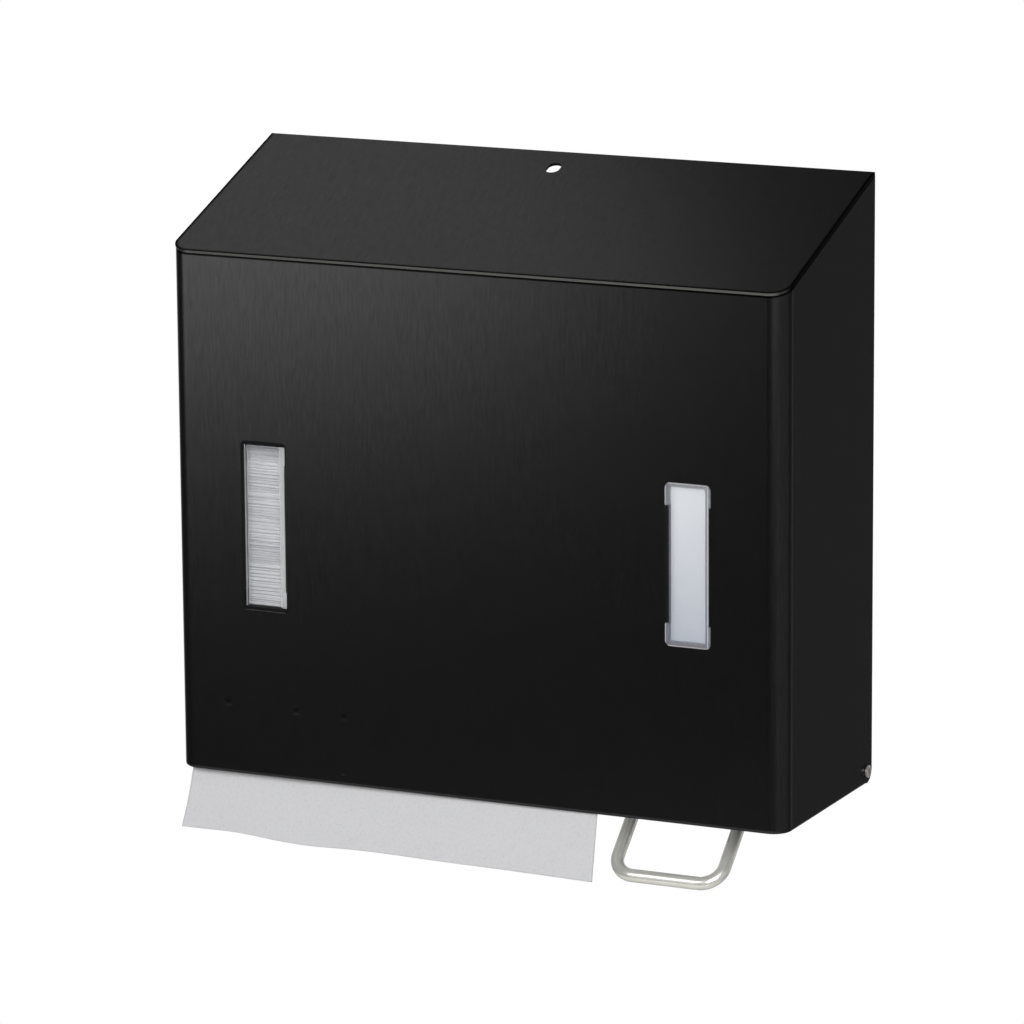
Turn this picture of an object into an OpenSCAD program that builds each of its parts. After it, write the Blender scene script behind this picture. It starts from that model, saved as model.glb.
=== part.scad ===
// Wall dispenser for folded paper towels and liquid soap, in millimetres, +Z up.
// The wall is the plane y = 0 and the front faces -Y. Heights are given from the housing's bottom
// edge, and place() then sets the origin at the middle of the four wall screws.

/* [Housing] */
// Width of the cover
body_w = 366; // [340:1:420]
// Depth of the cover, wall to front face
body_d = 125; // [118:1:150]
// Height of the housing at the wall
back_h = 340; // [334:1:360]
// Height of the front panel
front_h = 292; // [282:1:300]
// Thickness of the cover sheet
sheet_t = 1; // [0.8:0.1:1.5]
// Outside bend radius of the two upright front corners
corner_r = 11; // [8:0.5:16]
// Thickness of the sloping top plate
top_t = 1.5; // [1:0.1:2.5]
// Seam between the top plate and the sheet below it
seam = 0.3; // [0.1:0.05:0.4]
// Outside bend radius of the bottom hem
hem_r = 2; // [2:0.1:4]
// Reach of the bottom hem, from the front face inwards
hem_w = 2.6; // [2.4:0.1:5]

/* [Windows] */
// Width of the towel window's opening
window_w = 28; // [22:1:34]
// Height of the towel window's opening
window_h = 96; // [70:1:120]
// Height of the towel window's middle
window_z = 141.8; // [120:0.1:160]
// Width of the soap window's opening
soap_window_w = 26.6; // [22:0.1:34]
// Height of the soap window's opening
soap_window_h = 89.6; // [70:0.1:110]
// Height of the soap window's middle
soap_window_z = 143; // [120:0.1:160]
// Distance of each window's middle from the cover's side
window_side = 56.2; // [50:0.1:66]
// Corner radius of the window openings
window_r = 3; // [1:0.5:6]
// Width of the lens rim inside the opening
rim_w = 2.5; // [2:0.1:5]
// How far the lens stands proud of the front face
lens_proud = 0.4; // [0.1:0.1:1.5]
// Width of the lens flange behind the sheet
lens_flange = 4; // [2:0.5:8]
// Thickness of the lens flange
lens_t = 1.5; // [1:0.1:3]
// Distance from the ends of a window to the notches in its sides
notch_end = 12.5; // [8:0.5:20]
// Depth of the notch at the right of a window
step_w = 1.1; // [0.5:0.1:1.5]
// Thickness of the card behind the soap window
card_t = 0.6; // [0.3:0.1:1]

/* [Key slot and lock] */
// Distance of the key slot from the wall
key_y = 17; // [16:0.5:18]
// Width of the key slot
key_w = 8; // [5:0.5:9]
// Length of the key slot, down the slope
key_l = 10.5; // [9.5:0.5:13]
// Distance of the latch pivot from the wall
latch_y = 7; // [6.8:0.1:8]
// Height of the latch pivot below the top plate, at the striker tabs
latch_drop = 17.3; // [17:0.1:18]
// Diameter of the latch pin
latch_pin_d = 4; // [3:0.5:4.5]
// Width of the latch pawl
pawl_w = 34; // [32:1:40]
// Thickness of the pawl plate
pawl_t = 3; // [2:0.5:3.5]
// Distance of the striker tabs' front faces from the wall
tab_y = 24.7; // [24.5:0.1:26]
// Width of each striker tab
tab_w = 6; // [4:0.5:7]
// Distance between the striker tabs
tab_gap = 20; // [18:1:22]
// How far the pawl teeth reach above the tabs' lower edges
tooth_hold = 3; // [2:0.1:3.2]

/* [Hinge] */
// Distance of the hinge axis from the wall
hinge_y = 7.5; // [7:0.1:9]
// Height of the hinge axis above the bottom edge
hinge_z = 7.5; // [7:0.1:9]
// Diameter of the hinge pins
pin_d = 5; // [4:0.5:6]
// Diameter of the hinge pin heads
head_d = 7; // [6.5:0.5:10]
// Height of the hinge pin heads
head_t = 1.4; // [1:0.1:3]
// Radial clearance of turning fits
run_gap = 0.06; // [0.02:0.01:0.1]
// Clearance between pieces that move past each other
free_gap = 0.3; // [0.2:0.05:0.4]
// Radial clearance of pieces that are fixed together
fix_gap = 0.02; // [0.01:0.01:0.05]

/* [Back plate] */
// Thickness of the back plate
plate_t = 1.2; // [1:0.1:1.5]
// Height of the back plate's lower edge
plate_z0 = 3; // [1:0.5:5]
// Height of the back plate's upper edge below the housing's top edge
plate_drop = 22; // [20:1:26]
// Gap from the back plate's side edges to the cover walls
plate_gap = 3.5; // [3.2:0.1:5]
// Thickness of the hinge ears
ear_t = 1.3; // [1:0.1:1.4]
// Thickness of the washers between ears and cover
washer_t = 1.4; // [1:0.1:1.5]
// Diameter of the wall screw holes
wall_hole_d = 6.5; // [4:0.5:8]
// Wall screw spacing across
wall_dx = 300; // [240:1:310]
// Wall screw spacing up
wall_dz = 190; // [170:1:200]
// Height of the lower wall screws
wall_z = 95; // [90:1:110]
// Thickness of the brackets on the back plate
bracket_t = 1.2; // [1:0.1:1.5]
// Diameter of the rivet shanks
rivet_d = 3.2; // [2.4:0.1:4]

/* [Towels] */
// Room between the towels and the cover's side
side_room = 4; // [3.5:0.1:8]
// Room between the towels and the partition
part_room = 2; // [1:0.1:4]
// Room between the towels and the tray's front lip
stack_room = 1; // [0.5:0.1:3]
// Distance of the towel stack from the wall
stack_y = 10; // [8:0.5:14]
// Number of folded towels in the stack
towel_count = 48; // [30:1:50]
// Thickness of one folded towel
towel_t = 4.6; // [4:0.1:4.6]
// Height of the towel tray's underside
tray_z = 17; // [16.8:0.1:20]
// Thickness of the towel tray and the partition
tray_t = 1; // [0.8:0.1:1.2]
// Gap from the tray's front lip to the cover's front face
tray_front = 13; // [11:0.5:14]
// Height of the tray's front lip
tray_lip = 7; // [4:0.5:10]
// Distance of the tray mouth's rear edge from the wall
mouth_y0 = 40; // [36:1:46]
// Distance of the tray mouth's front edge from the wall
mouth_y1 = 85; // [82:1:92]
// Room beside a towel in the tray mouth
mouth_slack = 0.4; // [0.3:0.1:0.6]
// Gap from the tray to the cover's wall
tray_gap = 0.8; // [0.5:0.1:1]
// Height of the tray's left side flange
tray_side = 14; // [6:0.5:20]
// Width of the soap side, from the partition to the cover's side
soap_w = 109; // [107:0.1:109.2]
// Height of the partition's upper edge
part_h = 244; // [220:1:270]
// Thickness of the hanging towel
leaf_t = 0.6; // [0.4:0.1:1]
// Depth of the fold at the hanging towel's lower corner
leaf_fold = 1.5; // [0.5:0.5:5]

/* [Soap pump] */
// Distance of the pump and lever from the partition
pump_side = 30; // [29:0.5:34]
// Height of the pump axis
pump_z = 43; // [42:0.5:43]
// Outside diameter of the pump body
pump_d = 32; // [30:0.5:32]
// Diameter of the pump bore
bore_d = 16; // [14:0.5:18]
// Diameter of the spring chamber
chamber_d = 22; // [21:0.5:23]
// Diameter of the piston rod
rod_d = 10; // [8:0.5:11]
// Distance of the piston cap's rear face from the wall
cap_y = 54.3; // [54.3:0.05:54.6]
// Distance of the pump body's rear face from the wall
body_y0 = 64.5; // [64:0.5:65]
// Distance of the pump body's front face from the wall
body_y1 = 97.5; // [96.5:0.5:98]
// Distance of the soap inlet from the wall
inlet_y = 89; // [88.5:0.5:90]
// Distance of the nozzle from the wall
nozzle_y = 72; // [71:0.5:73]
// Wire diameter of the pump spring
spring_wire = 1.4; // [1:0.1:1.6]
// Turns of the pump spring
spring_turns = 6; // [4:1:7]

/* [Soap tank] */
// Height of the tank shelf's underside
shelf_z = 60; // [60:0.5:64]
// Thickness of the pump bracket
shelf_t = 1.5; // [1.2:0.1:2]
// Width of the soap tank
tank_w = 92; // [84:1:94]
// Depth of the soap tank
tank_d = 92; // [90:1:94]
// Height of the soap tank without its neck
tank_h = 136; // [110:1:150]
// Distance of the tank's middle from the cover's side
tank_side = 55; // [53:0.5:57]
// Distance of the tank from the wall
tank_y = 12; // [10:0.5:13]
// Corner radius of the tank
tank_r = 14; // [8:0.5:20]
// Diameter of the filler neck
neck_d = 40; // [30:1:46]

/* [Lever] */
// Distance of the lever axle from the wall
axle_y = 50; // [49.8:0.1:50]
// Height of the lever axle
axle_z = 11; // [10.5:0.1:11]
// Diameter of the lever axle
axle_d = 7; // [6:0.5:7.5]
// Diameter of the bail rod
bail_d = 7.4; // [5:0.1:7.5]
// Distance between the bail legs
bail_w = 63; // [62:0.5:68]
// Length of the bail, axle to bar
bail_l = 73; // [60:0.1:74]
// Lean of the bail from the vertical, at rest
bail_lean = 47.8; // [40:0.1:50]
// Bend radius of the bail, at the rod's middle
bail_r = 12; // [9:0.5:16]
// Distance between the bracket cheeks
cheek_gap = 42; // [38:0.5:44]
// Thickness of the bush flanges
bush_t = 1.2; // [0.8:0.1:1.6]
// Radius of the rocker's nose
nose_r = 4; // [3.5:0.1:4]

/* [Hidden] */
$fn = 48;

// Colours as the pieces look
black_steel = [0.17, 0.16, 0.16];
bare_steel = [0.72, 0.71, 0.69];
zinc = [0.66, 0.68, 0.70];
paper_white = [0.90, 0.90, 0.89];
clear_plastic = [0.80, 0.82, 0.84, 0.5];
white_plastic = [0.93, 0.93, 0.94];
grey_plastic = [0.55, 0.56, 0.57];
dark_rubber = [0.12, 0.12, 0.13];

// A cut runs this far past what it cuts
past = 1;
// Least straight run left between two corner rounds
sliver = 0.01;

// Housing planes
half_w = body_w / 2;
inner_x = half_w - sheet_t;
inner_y = -body_d + sheet_t;
slope = atan((back_h - top_t - front_h) / body_d);
slope_l = body_d / cos(slope);
screw_mid_z = wall_z + wall_dz / 2;

// Height of the top plate's underside at a distance y from the wall
function under(y) = front_h + (body_d - y) * tan(slope);

// Hinge
plate_x = inner_x - plate_gap;
ear_x = inner_x - free_gap - washer_t;
ear_r = 7;
washer_r = 5.8;
nut_w = 8;
nut_t = 3.7;

// Stiffening ribs of the back plate
rib_w = 9;
rib_l = 150;
rib_in = 45;
rib_z = [wall_z + rib_in, wall_z + wall_dz - rib_in];

// Lock
latch_z = under(tab_y) - latch_drop;
plate_top = back_h - plate_drop;
tab_t = 1.5;
tab_room = 4.5;
pawl_wall = 2;
pawl_r = latch_pin_d / 2 + pawl_wall;
pawl_z = latch_z + pawl_r;
pawl_y1 = tab_y + free_gap;
tooth_t = 3;
tab_z = pawl_z + pawl_t + tab_room;
latch_side = 1.5;
latch_deep = 14;
latch_back = 1;
latch_lip = 5;
latch_nose = 6;
latch_ear_x = pawl_w / 2 + latch_side;
latch_floor_z = latch_z - latch_deep;
latch_floor_y = pawl_y1 - latch_back;
latch_seat_y = 17;
latch_coil_r = 3;
latch_wire = 0.8;

// Windows: middle across, middle up, width, height
window_x = half_w - window_side;
towel_pane = [-window_x, window_z, window_w, window_h];
soap_pane = [window_x, soap_window_z, soap_window_w, soap_window_h];
function notch_h(win) = win[3] - 2 * notch_end;

// Towels
part_x = half_w - soap_w;
towel_x0 = -inner_x + side_room;
towel_x1 = part_x - part_room;
towel_w = towel_x1 - towel_x0;
tray_d = body_d - tray_front;
stack_d = tray_d - tray_t - stack_room - stack_y;
tray_x0 = -inner_x + tray_gap;
tray_top = tray_z + tray_t;
stack_z = tray_top + free_gap;
guide_rise = 16;
guide_h = 14;
guide_reach = 7;
guide_end = 13;

// Soap side
pump_x = part_x + pump_side;
tank_x = half_w - tank_side;
shelf_top = shelf_z + shelf_t;
shelf_x0 = part_x + tray_t + free_gap;
shelf_x1 = plate_x;
shelf_y1 = tank_y + tank_d + 2;
neck_h = 9;
tank_mid_y = -tank_y - tank_d / 2;
tank_foot = 1.2;
inlet_r = 7;
valve_r = 4;
seal_r = inlet_r + 1.8;
piston_head_y = body_y0 + 12.5;
piston_head_l = 6;
chamber_l = 11.5;
cap_t = 2.2;
nozzle_r = 8;
stub_z = pump_z - pump_d / 2 - 18;
cheek_t = 2;
cheek_x = [pump_x - cheek_gap / 2, pump_x + cheek_gap / 2];
cheek_half = 12;
bush_r = axle_d / 2 + 2;
bush_lip = 1.2;
eye_r = axle_d / 2 + 2;
eye_w = 7;
rocker_w = 16;
rocker_r = 8;
pad_half = 21;
pad_t = 4;
screw_y = inlet_y - 10;
screw_dx = 16;
screw_d = 3;
grub_d = 4;
hex_w = 2.2;

// Distances of the rivets from the edges of the flanges they hold
latch_rivet_x = 4.5;
latch_rivet_z = 8;
shelf_rivet_x0 = 22;
shelf_rivet_x1 = 10;
shelf_rivet_z = 10;
tray_rivet_x0 = 28;
tray_rivet_x1 = 24;
tray_rivet_z = 14;
part_rivet_x = 9;
part_rivet_z0 = 60;
part_rivet_z1 = 16;

// Rivets through the back plate: across, up
rivets = [
    [-latch_ear_x + latch_rivet_x, latch_floor_z + latch_rivet_z],
    [latch_ear_x - latch_rivet_x, latch_floor_z + latch_rivet_z],
    [shelf_x0 + shelf_rivet_x0, shelf_top + shelf_rivet_z],
    [shelf_x1 - shelf_rivet_x1, shelf_top + shelf_rivet_z],
    [-plate_x + tray_rivet_x0, tray_z + tray_rivet_z],
    [(part_x - plate_x) / 2, tray_z + tray_rivet_z],
    [part_x - tray_rivet_x1, tray_z + tray_rivet_z],
    [part_x + part_rivet_x, part_h - part_rivet_z0],
    [part_x + part_rivet_x, part_h - part_rivet_z1]
];

// Routes of the hanging towel's left and right edge from the tray mouth: distance from the wall, height
leaf_left = [
    [80, 17.7], [84, 14.2], [95, 9.4], [105, 6.6], [112, 4.2], [116, 1.2],
    [118, -3.2], [120.9, -10.5], [124.6, -18.9], [128.3, -25.5], [132.1, -32.1]
];
leaf_right = [
    [80, 17.7], [84, 14.4], [95, 10], [106, 7.6], [114.5, 5.6], [119.4, 3.2],
    [121.9, -1.4], [123.8, -10], [125.6, -19], [127.4, -28], [129.1, -36.7]
];
leaf_nx = 24;
leaf_ns = 2;

// Sets the finished pieces in the part's own frame
module place() translate([0, 0, -screw_mid_z]) children();

// A rod along X, from x0 to x1
module rod_x(x0, x1, y, z, r) translate([x0, y, z]) rotate([0, 90, 0]) cylinder(h = x1 - x0, r = r);

// A rod along Y, from a distance d0 to a distance d1 from the wall
module rod_y(d0, d1, x, z, r) translate([x, -d0, z]) rotate([90, 0, 0]) cylinder(h = d1 - d0, r = r);

// An outline in (y, z) carried along X
module along_x(x0, x1) translate([x0, 0, 0]) rotate([90, 0, 90]) linear_extrude(x1 - x0) children();

// An outline in (x, z) carried along Y, from a distance d0 to a distance d1 from the wall
module along_y(d0, d1) translate([0, -d0, 0]) rotate([90, 0, 0]) linear_extrude(d1 - d0) children();

// A box from one corner to the other
module block(a, b) translate(a) cube(b - a);

// A rectangle with round corners
module rounded_rect(w, h, r) {
    square([w - 2 * r, h], center = true);
    square([w, h - 2 * r], center = true);
    for (x = [-1, 1], y = [-1, 1])
        translate([x * (w / 2 - r), y * (h / 2 - r)]) circle(r);
}

// Both hinge sides
module both_sides() for (s = [0, 1]) mirror([s, 0, 0]) children();

// A ring round the Z axis
module ring(r_in, r_out, z0, z1) rotate_extrude() translate([r_in, z0]) square([r_out - r_in, z1 - z0]);

// Plan of the bent cover, drawn in from the outside by a thickness
module cover_plan(inset, back) {
    x = half_w - inset;
    y = -body_d + inset;
    r = corner_r - inset;
    translate([-x, y + r]) square([2 * x, -y - r + back]);
    translate([-x + r, y]) square([2 * (x - r), 2 * r]);
    for (s = [-1, 1]) translate([s * (x - r), y + r]) circle(r);
}

// Round of the bottom hem: distance from the outer face, height
module hem_round() intersection() {
    difference() {
        translate([hem_r, hem_r]) circle(hem_r);
        translate([hem_r, hem_r]) circle(hem_r - sheet_t);
    }
    square(hem_r);
}

// Section of the bottom hem along the front
module hem_section() {
    hem_round();
    translate([hem_r, 0]) square([hem_w - hem_r, sheet_t]);
}

// The hem along the front edge and round both front corners, and its round along the sides
module hem() {
    both_sides() along_y(hinge_y, body_d - corner_r) translate([-half_w, 0]) hem_round();
    along_x(-half_w + corner_r, half_w - corner_r) translate([-body_d, 0]) hem_section();
    both_sides() translate([half_w - corner_r, -body_d + corner_r, 0]) rotate([0, 0, -90])
        rotate_extrude(angle = 90) translate([corner_r, 0]) mirror([1, 0]) hem_section();
}

// Front panel and both sides, bent from one sheet, with the window openings and the hinge holes
module cover_wrap() {
    corner = min(hinge_y, hinge_z);
    lift = hem_r * (1 - cos(45));
    color(black_steel) place() difference() {
        union() {
            difference() {
                linear_extrude(back_h) difference() {
                    cover_plan(0, 0);
                    cover_plan(sheet_t, past);
                }
                block([-half_w - past, -body_d - past, -past], [half_w + past, -hinge_y, hem_r]);
            }
            hem();
        }
        along_x(-half_w - past, half_w + past) polygon([
            [-body_d - past, under(body_d + past) - seam], [past, under(-past) - seam],
            [past, back_h + past], [-body_d - past, back_h + past]
        ]);
        for (win = [towel_pane, soap_pane]) translate([win[0], 0, win[1]])
            along_y(body_d - 2 * sheet_t, body_d + past) window_plan(win, 0);
        rod_x(-half_w - past, half_w + past, -hinge_y, hinge_z, pin_d / 2 + run_gap);
        along_x(-half_w - past, half_w + past) difference() {
            translate([-corner, -past]) square([corner + past, corner + lift + past]);
            translate([-corner, corner + lift]) circle(corner);
        }
    }
    color(black_steel) place() {
        window_tongue(towel_pane);
        window_tongue(soap_pane);
    }
}

// Outline of a window opening, notched at the right, drawn in by a slack
module window_plan(win, slack) difference() {
    rounded_rect(win[2] - 2 * slack, win[3] - 2 * slack, window_r);
    translate([win[2] / 2 - step_w - slack, -notch_h(win) / 2 - slack])
        square([step_w + 2 * slack, notch_h(win) + 2 * slack]);
}

// Tongue of the sheet that bends in at the left of a window and fills the notch of its lens
module window_tongue(win) {
    reach = rim_w - free_gap;
    dip = 0.9;
    h = notch_h(win) - 2 * free_gap;
    root = past / 2;
    translate([win[0] - win[2] / 2, -body_d, win[1] - h / 2]) linear_extrude(h) polygon([
        [-root, 0], [0, 0], [reach, dip], [reach, dip + sheet_t], [0, sheet_t], [-root, sheet_t]
    ]);
}

// Sloping top plate with the key slot
module cover_top() {
    key_v = (body_d - key_y) / cos(slope);
    color(black_steel) place() translate([0, -body_d, front_h]) rotate([slope, 0, 0])
        linear_extrude(top_t) difference() {
            union() {
                translate([-half_w, corner_r]) square([body_w, slope_l - corner_r]);
                translate([-half_w + corner_r, 0]) square([body_w - 2 * corner_r, 2 * corner_r]);
                for (s = [-1, 1]) translate([s * (half_w - corner_r), corner_r]) circle(corner_r);
            }
            translate([0, key_v]) rounded_rect(key_w, key_l, key_w / 2 - sliver);
        }
}

// Strip under the top plate with two hanging tabs, which the latch holds
module lock_striker() {
    front = tab_y + 18;
    back = tab_y - tab_t;
    drop = 1.5;
    color(bare_steel) place() {
        translate([0, 0, -fix_gap]) along_x(-tab_gap / 2 - tab_w, tab_gap / 2 + tab_w) polygon([
            [-front, under(front)], [-tab_y, under(tab_y)],
            [-tab_y, under(tab_y) - drop], [-front, under(front) - drop]
        ]);
        both_sides() along_x(tab_gap / 2, tab_gap / 2 + tab_w) polygon([
            [-tab_y, under(tab_y) - fix_gap], [-back, under(back) - fix_gap],
            [-back, tab_z], [-tab_y, tab_z]
        ]);
    }
}

// Clear moulded lens: a rim in the opening round a sunk pane, a flange behind the sheet, and a notch
// along the left side
module window_lens(win) {
    slack = 0.2;
    pane_sink = 0.8;
    w = win[2];
    h = win[3];
    translate([win[0], 0, win[1]]) difference() {
        union() {
            along_y(body_d - sheet_t, body_d + lens_proud) window_plan(win, slack);
            along_y(body_d - sheet_t - lens_t, body_d - sheet_t)
                rounded_rect(w + 2 * lens_flange, h + 2 * lens_flange, window_r);
        }
        along_y(body_d + lens_proud - pane_sink, body_d + lens_proud + past)
            rounded_rect(w - 2 * slack - 2 * rim_w, h - 2 * slack - 2 * rim_w, window_r / 2);
        along_y(body_d - sheet_t - lens_t - past, body_d + lens_proud + past)
            translate([-w / 2, -notch_h(win) / 2]) square([rim_w, notch_h(win)]);
    }
}

module towel_window() color(clear_plastic) place() window_lens(towel_pane);

module soap_window() color(clear_plastic) place() window_lens(soap_pane);

// Blank card behind the soap window, notched as the lens is
module label_card() {
    y = body_d - sheet_t - lens_t;
    win = soap_pane;
    w = win[2] + lens_flange;
    color(white_plastic) place() translate([win[0], 0, win[1]]) along_y(y - card_t, y) difference() {
        rounded_rect(w, win[3] + lens_flange, window_r);
        translate([-w / 2 - past, -notch_h(win) / 2])
            square([(w - win[2]) / 2 + rim_w + past, notch_h(win)]);
    }
}

// Angle strip welded inside the front panel, which keeps the lowest towels off it
module towel_guide() {
    z = tray_z + guide_rise;
    color(black_steel) place() along_x(towel_x0 + guide_end, towel_x1 - guide_end) {
        translate([inner_y, z]) square([tray_t, guide_h]);
        translate([inner_y, z]) square([guide_reach, tray_t]);
    }
}

// Holes for the rivets
module rivet_holes() for (p = rivets)
    rod_y(-past, plate_t + bracket_t + past, p[0], p[1], rivet_d / 2 + fix_gap);

// Outline of a stiffening rib, drawn in by an inset
module rib_plan(inset) rounded_rect(rib_l - 2 * inset, rib_w - 2 * inset, rib_w / 2 - inset - sliver);

// Wall plate with two stiffening ribs and the two hinge ears
module back_plate() {
    plate_r = 6;
    rib_x = -40;
    rib_h = 2.2;
    ear_y = hinge_y + ear_r;
    ear_foot = 12;
    color(zinc) place() difference() {
        union() {
            along_y(0, plate_t) translate([0, (plate_z0 + plate_top) / 2])
                rounded_rect(2 * plate_x, plate_top - plate_z0, plate_r);
            for (z = rib_z) translate([rib_x, 0, z]) along_y(0, rib_h) rib_plan(0);
            both_sides() {
                block([plate_x - ear_foot, -plate_t, plate_z0], [ear_x, 0, hinge_z + ear_r]);
                along_x(ear_x - ear_t, ear_x) {
                    translate([-hinge_y, plate_z0]) square([hinge_y, hinge_z + ear_r - plate_z0]);
                    intersection() {
                        translate([-hinge_y, hinge_z]) circle(ear_r);
                        translate([-ear_y, plate_z0]) square([ear_y, 2 * ear_r]);
                    }
                }
            }
        }
        for (z = rib_z) translate([rib_x, 0, z]) along_y(-past, rib_h - plate_t) rib_plan(plate_t);
        for (x = [-1, 1], z = [wall_z, wall_z + wall_dz])
            rod_y(-past, plate_t + past, x * wall_dx / 2, z, wall_hole_d / 2);
        rod_x(-half_w, half_w, -hinge_y, hinge_z, pin_d / 2 + fix_gap);
        rivet_holes();
    }
}

// Hinge pins with domed socket heads outside the cover
module hinge_pins() {
    head_x = half_w + free_gap;
    end_x = ear_x - ear_t - nut_t - 1;
    crown_d = head_d * 0.7;
    socket_w = 3.4;
    color(bare_steel) place() both_sides()
        translate([0, -hinge_y, hinge_z]) rotate([0, 90, 0]) difference() {
            union() {
                translate([0, 0, end_x]) cylinder(h = head_x - end_x, d = pin_d);
                translate([0, 0, head_x]) cylinder(h = head_t / 2, d = head_d);
                translate([0, 0, head_x + head_t / 2]) cylinder(h = head_t / 2, d1 = head_d, d2 = crown_d);
            }
            translate([0, 0, head_x + head_t / 4]) cylinder(h = head_t, d = socket_w, $fn = 6);
        }
}

// Plastic washers between the ears and the cover
module hinge_washers() color(white_plastic) place() both_sides() difference() {
    rod_x(ear_x, ear_x + washer_t, -hinge_y, hinge_z, washer_r);
    rod_x(ear_x - past, ear_x + washer_t + past, -hinge_y, hinge_z, pin_d / 2 + fix_gap);
}

// Nuts on the hinge pins, inside the ears
module hinge_nuts() color(zinc) place() both_sides() translate([ear_x - ear_t - nut_t, -hinge_y, hinge_z])
    rotate([0, 90, 0]) difference() {
        cylinder(h = nut_t, d = nut_w / cos(30), $fn = 6);
        translate([0, 0, -past]) cylinder(h = nut_t + 2 * past, d = pin_d + 2 * fix_gap);
    }

// Bent tray under the towels: flange on the back plate, floor with the towel mouth, front lip, left
// side flange, and a rolled bead along both long edges of the mouth
module towel_tray() {
    flange_h = 24;
    flange_y = plate_t + bracket_t;
    side_y = mouth_y0 - 12;
    bead_r = 1.5;
    x0 = towel_x0 - mouth_slack;
    x1 = towel_x1 + mouth_slack;
    color(zinc) place() {
        difference() {
            union() {
                block([-plate_x, -flange_y, tray_z], [part_x, -plate_t, tray_z + flange_h]);
                along_x(tray_x0, part_x) {
                    translate([-tray_d, tray_z]) square([tray_d - plate_t, tray_t]);
                    translate([-tray_d, tray_z]) square([tray_t, tray_lip]);
                }
                block([tray_x0, -tray_d, tray_z], [tray_x0 + tray_t, -side_y, tray_z + tray_side]);
            }
            block([x0, -mouth_y1, tray_z - past], [x1, -mouth_y0, tray_top + past]);
            rivet_holes();
        }
        for (y = [mouth_y0, mouth_y1]) rod_x(x0, x1, -y, tray_top - bead_r, bead_r);
    }
}

// Upright wall between towels and soap, with its flange on the back plate
module partition() {
    cut = 26;
    flange_w = 16;
    flange_rise = 40;
    color(zinc) place() difference() {
        union() {
            along_x(part_x, part_x + tray_t) polygon([
                [-plate_t, tray_z], [-plate_t, part_h], [-tray_d + cut, part_h],
                [-tray_d, part_h - cut], [-tray_d, tray_z]
            ]);
            block([part_x, -plate_t - bracket_t, shelf_top + flange_rise],
                  [part_x + flange_w, -plate_t, part_h]);
        }
        rivet_holes();
    }
}

// Stack of folded towels: each fold is a half round at the front and the back of the stack
module towel_stack() {
    steps = 4;
    bulge = 1.4;
    last = towel_count * steps;
    edge = [for (k = [0 : last]) [bulge * (1 - abs(sin(180 * k / steps))), stack_z + k / steps * towel_t]];
    front = [for (e = edge) [-stack_y - stack_d + e[0], e[1]]];
    rear = [for (k = [last : -1 : 0]) [-stack_y - edge[k][0], edge[k][1]]];
    color(paper_white) place() along_x(towel_x0, towel_x1) polygon(concat(front, rear));
}

// A point at t between the second and third of four points on a smooth curve
function smooth(a, b, c, d, t) = 0.5 * (2 * b + (c - a) * t + (2 * a - 5 * b + 4 * c - d) * t * t
    + (3 * b - a - 3 * c + d) * t * t * t);

// Points along one of the towel's routes, leaf_ns to a stretch
leaf_last = len(leaf_left) - 1;
function leaf_line(route) = [
    for (i = [0 : leaf_last - 1], k = [0 : leaf_ns - 1]) smooth(
        route[max(i - 1, 0)], route[i], route[i + 1], route[min(i + 2, leaf_last)], k / leaf_ns
    ),
    route[leaf_last]
];
left_line = leaf_line(leaf_left);
right_line = leaf_line(leaf_right);

// Where a point of the hanging towel lies: u across from the left, i along the routes. Towards the
// lower edge the left corner rolls forwards and its edge rises, and the edge beside it sinks.
function leaf_point(u, i, lift) =
    let (
        n = len(left_line) - 1,
        low = pow(i / n, 4),
        mid = left_line[i] * (1 - u) + right_line[i] * u,
        a = left_line[max(i - 1, 0)],
        b = left_line[min(i + 1, n)],
        run = (b - a) / norm(b - a),
        roll = leaf_fold * low * sin(360 * (u / 0.42 - 0.1)) * exp(-pow((u - 0.2) / 0.16, 2)),
        rise = low * (1.1 * exp(-pow((u - 0.14) / 0.08, 2)) - 1.6 * exp(-pow((u - 0.3) / 0.1, 2)))
    )
    [towel_x0 + u * towel_w, -mid[0] - roll - lift * run[1], mid[1] + rise - lift * run[0]];

// The towel that hangs out of the mouth, ready to be pulled
module hanging_towel() {
    ns = len(left_line);
    nu = leaf_nx + 1;
    sides = [for (s = [-1, 1], i = [0 : ns - 1], j = [0 : leaf_nx])
        leaf_point(j / leaf_nx, i, s * leaf_t / 2)];
    m = ns * nu;
    edge = concat(
        [for (j = [0 : leaf_nx - 1]) j],
        [for (i = [0 : ns - 2]) i * nu + leaf_nx],
        [for (j = [leaf_nx : -1 : 1]) (ns - 1) * nu + j],
        [for (i = [ns - 1 : -1 : 1]) i * nu]
    );
    faces = concat(
        [for (i = [0 : ns - 2], j = [0 : leaf_nx - 1]) each [
            [i * nu + j, i * nu + j + 1, (i + 1) * nu + j + 1],
            [i * nu + j, (i + 1) * nu + j + 1, (i + 1) * nu + j]
        ]],
        [for (i = [0 : ns - 2], j = [0 : leaf_nx - 1]) each [
            [m + i * nu + j, m + (i + 1) * nu + j + 1, m + i * nu + j + 1],
            [m + i * nu + j, m + (i + 1) * nu + j, m + (i + 1) * nu + j + 1]
        ]],
        [for (k = [0 : len(edge) - 1]) let (a = edge[k], b = edge[(k + 1) % len(edge)]) each [
            [a, m + a, b], [b, m + a, m + b]
        ]]
    );
    color(paper_white) place() polyhedron(sides, faces);
}

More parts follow.
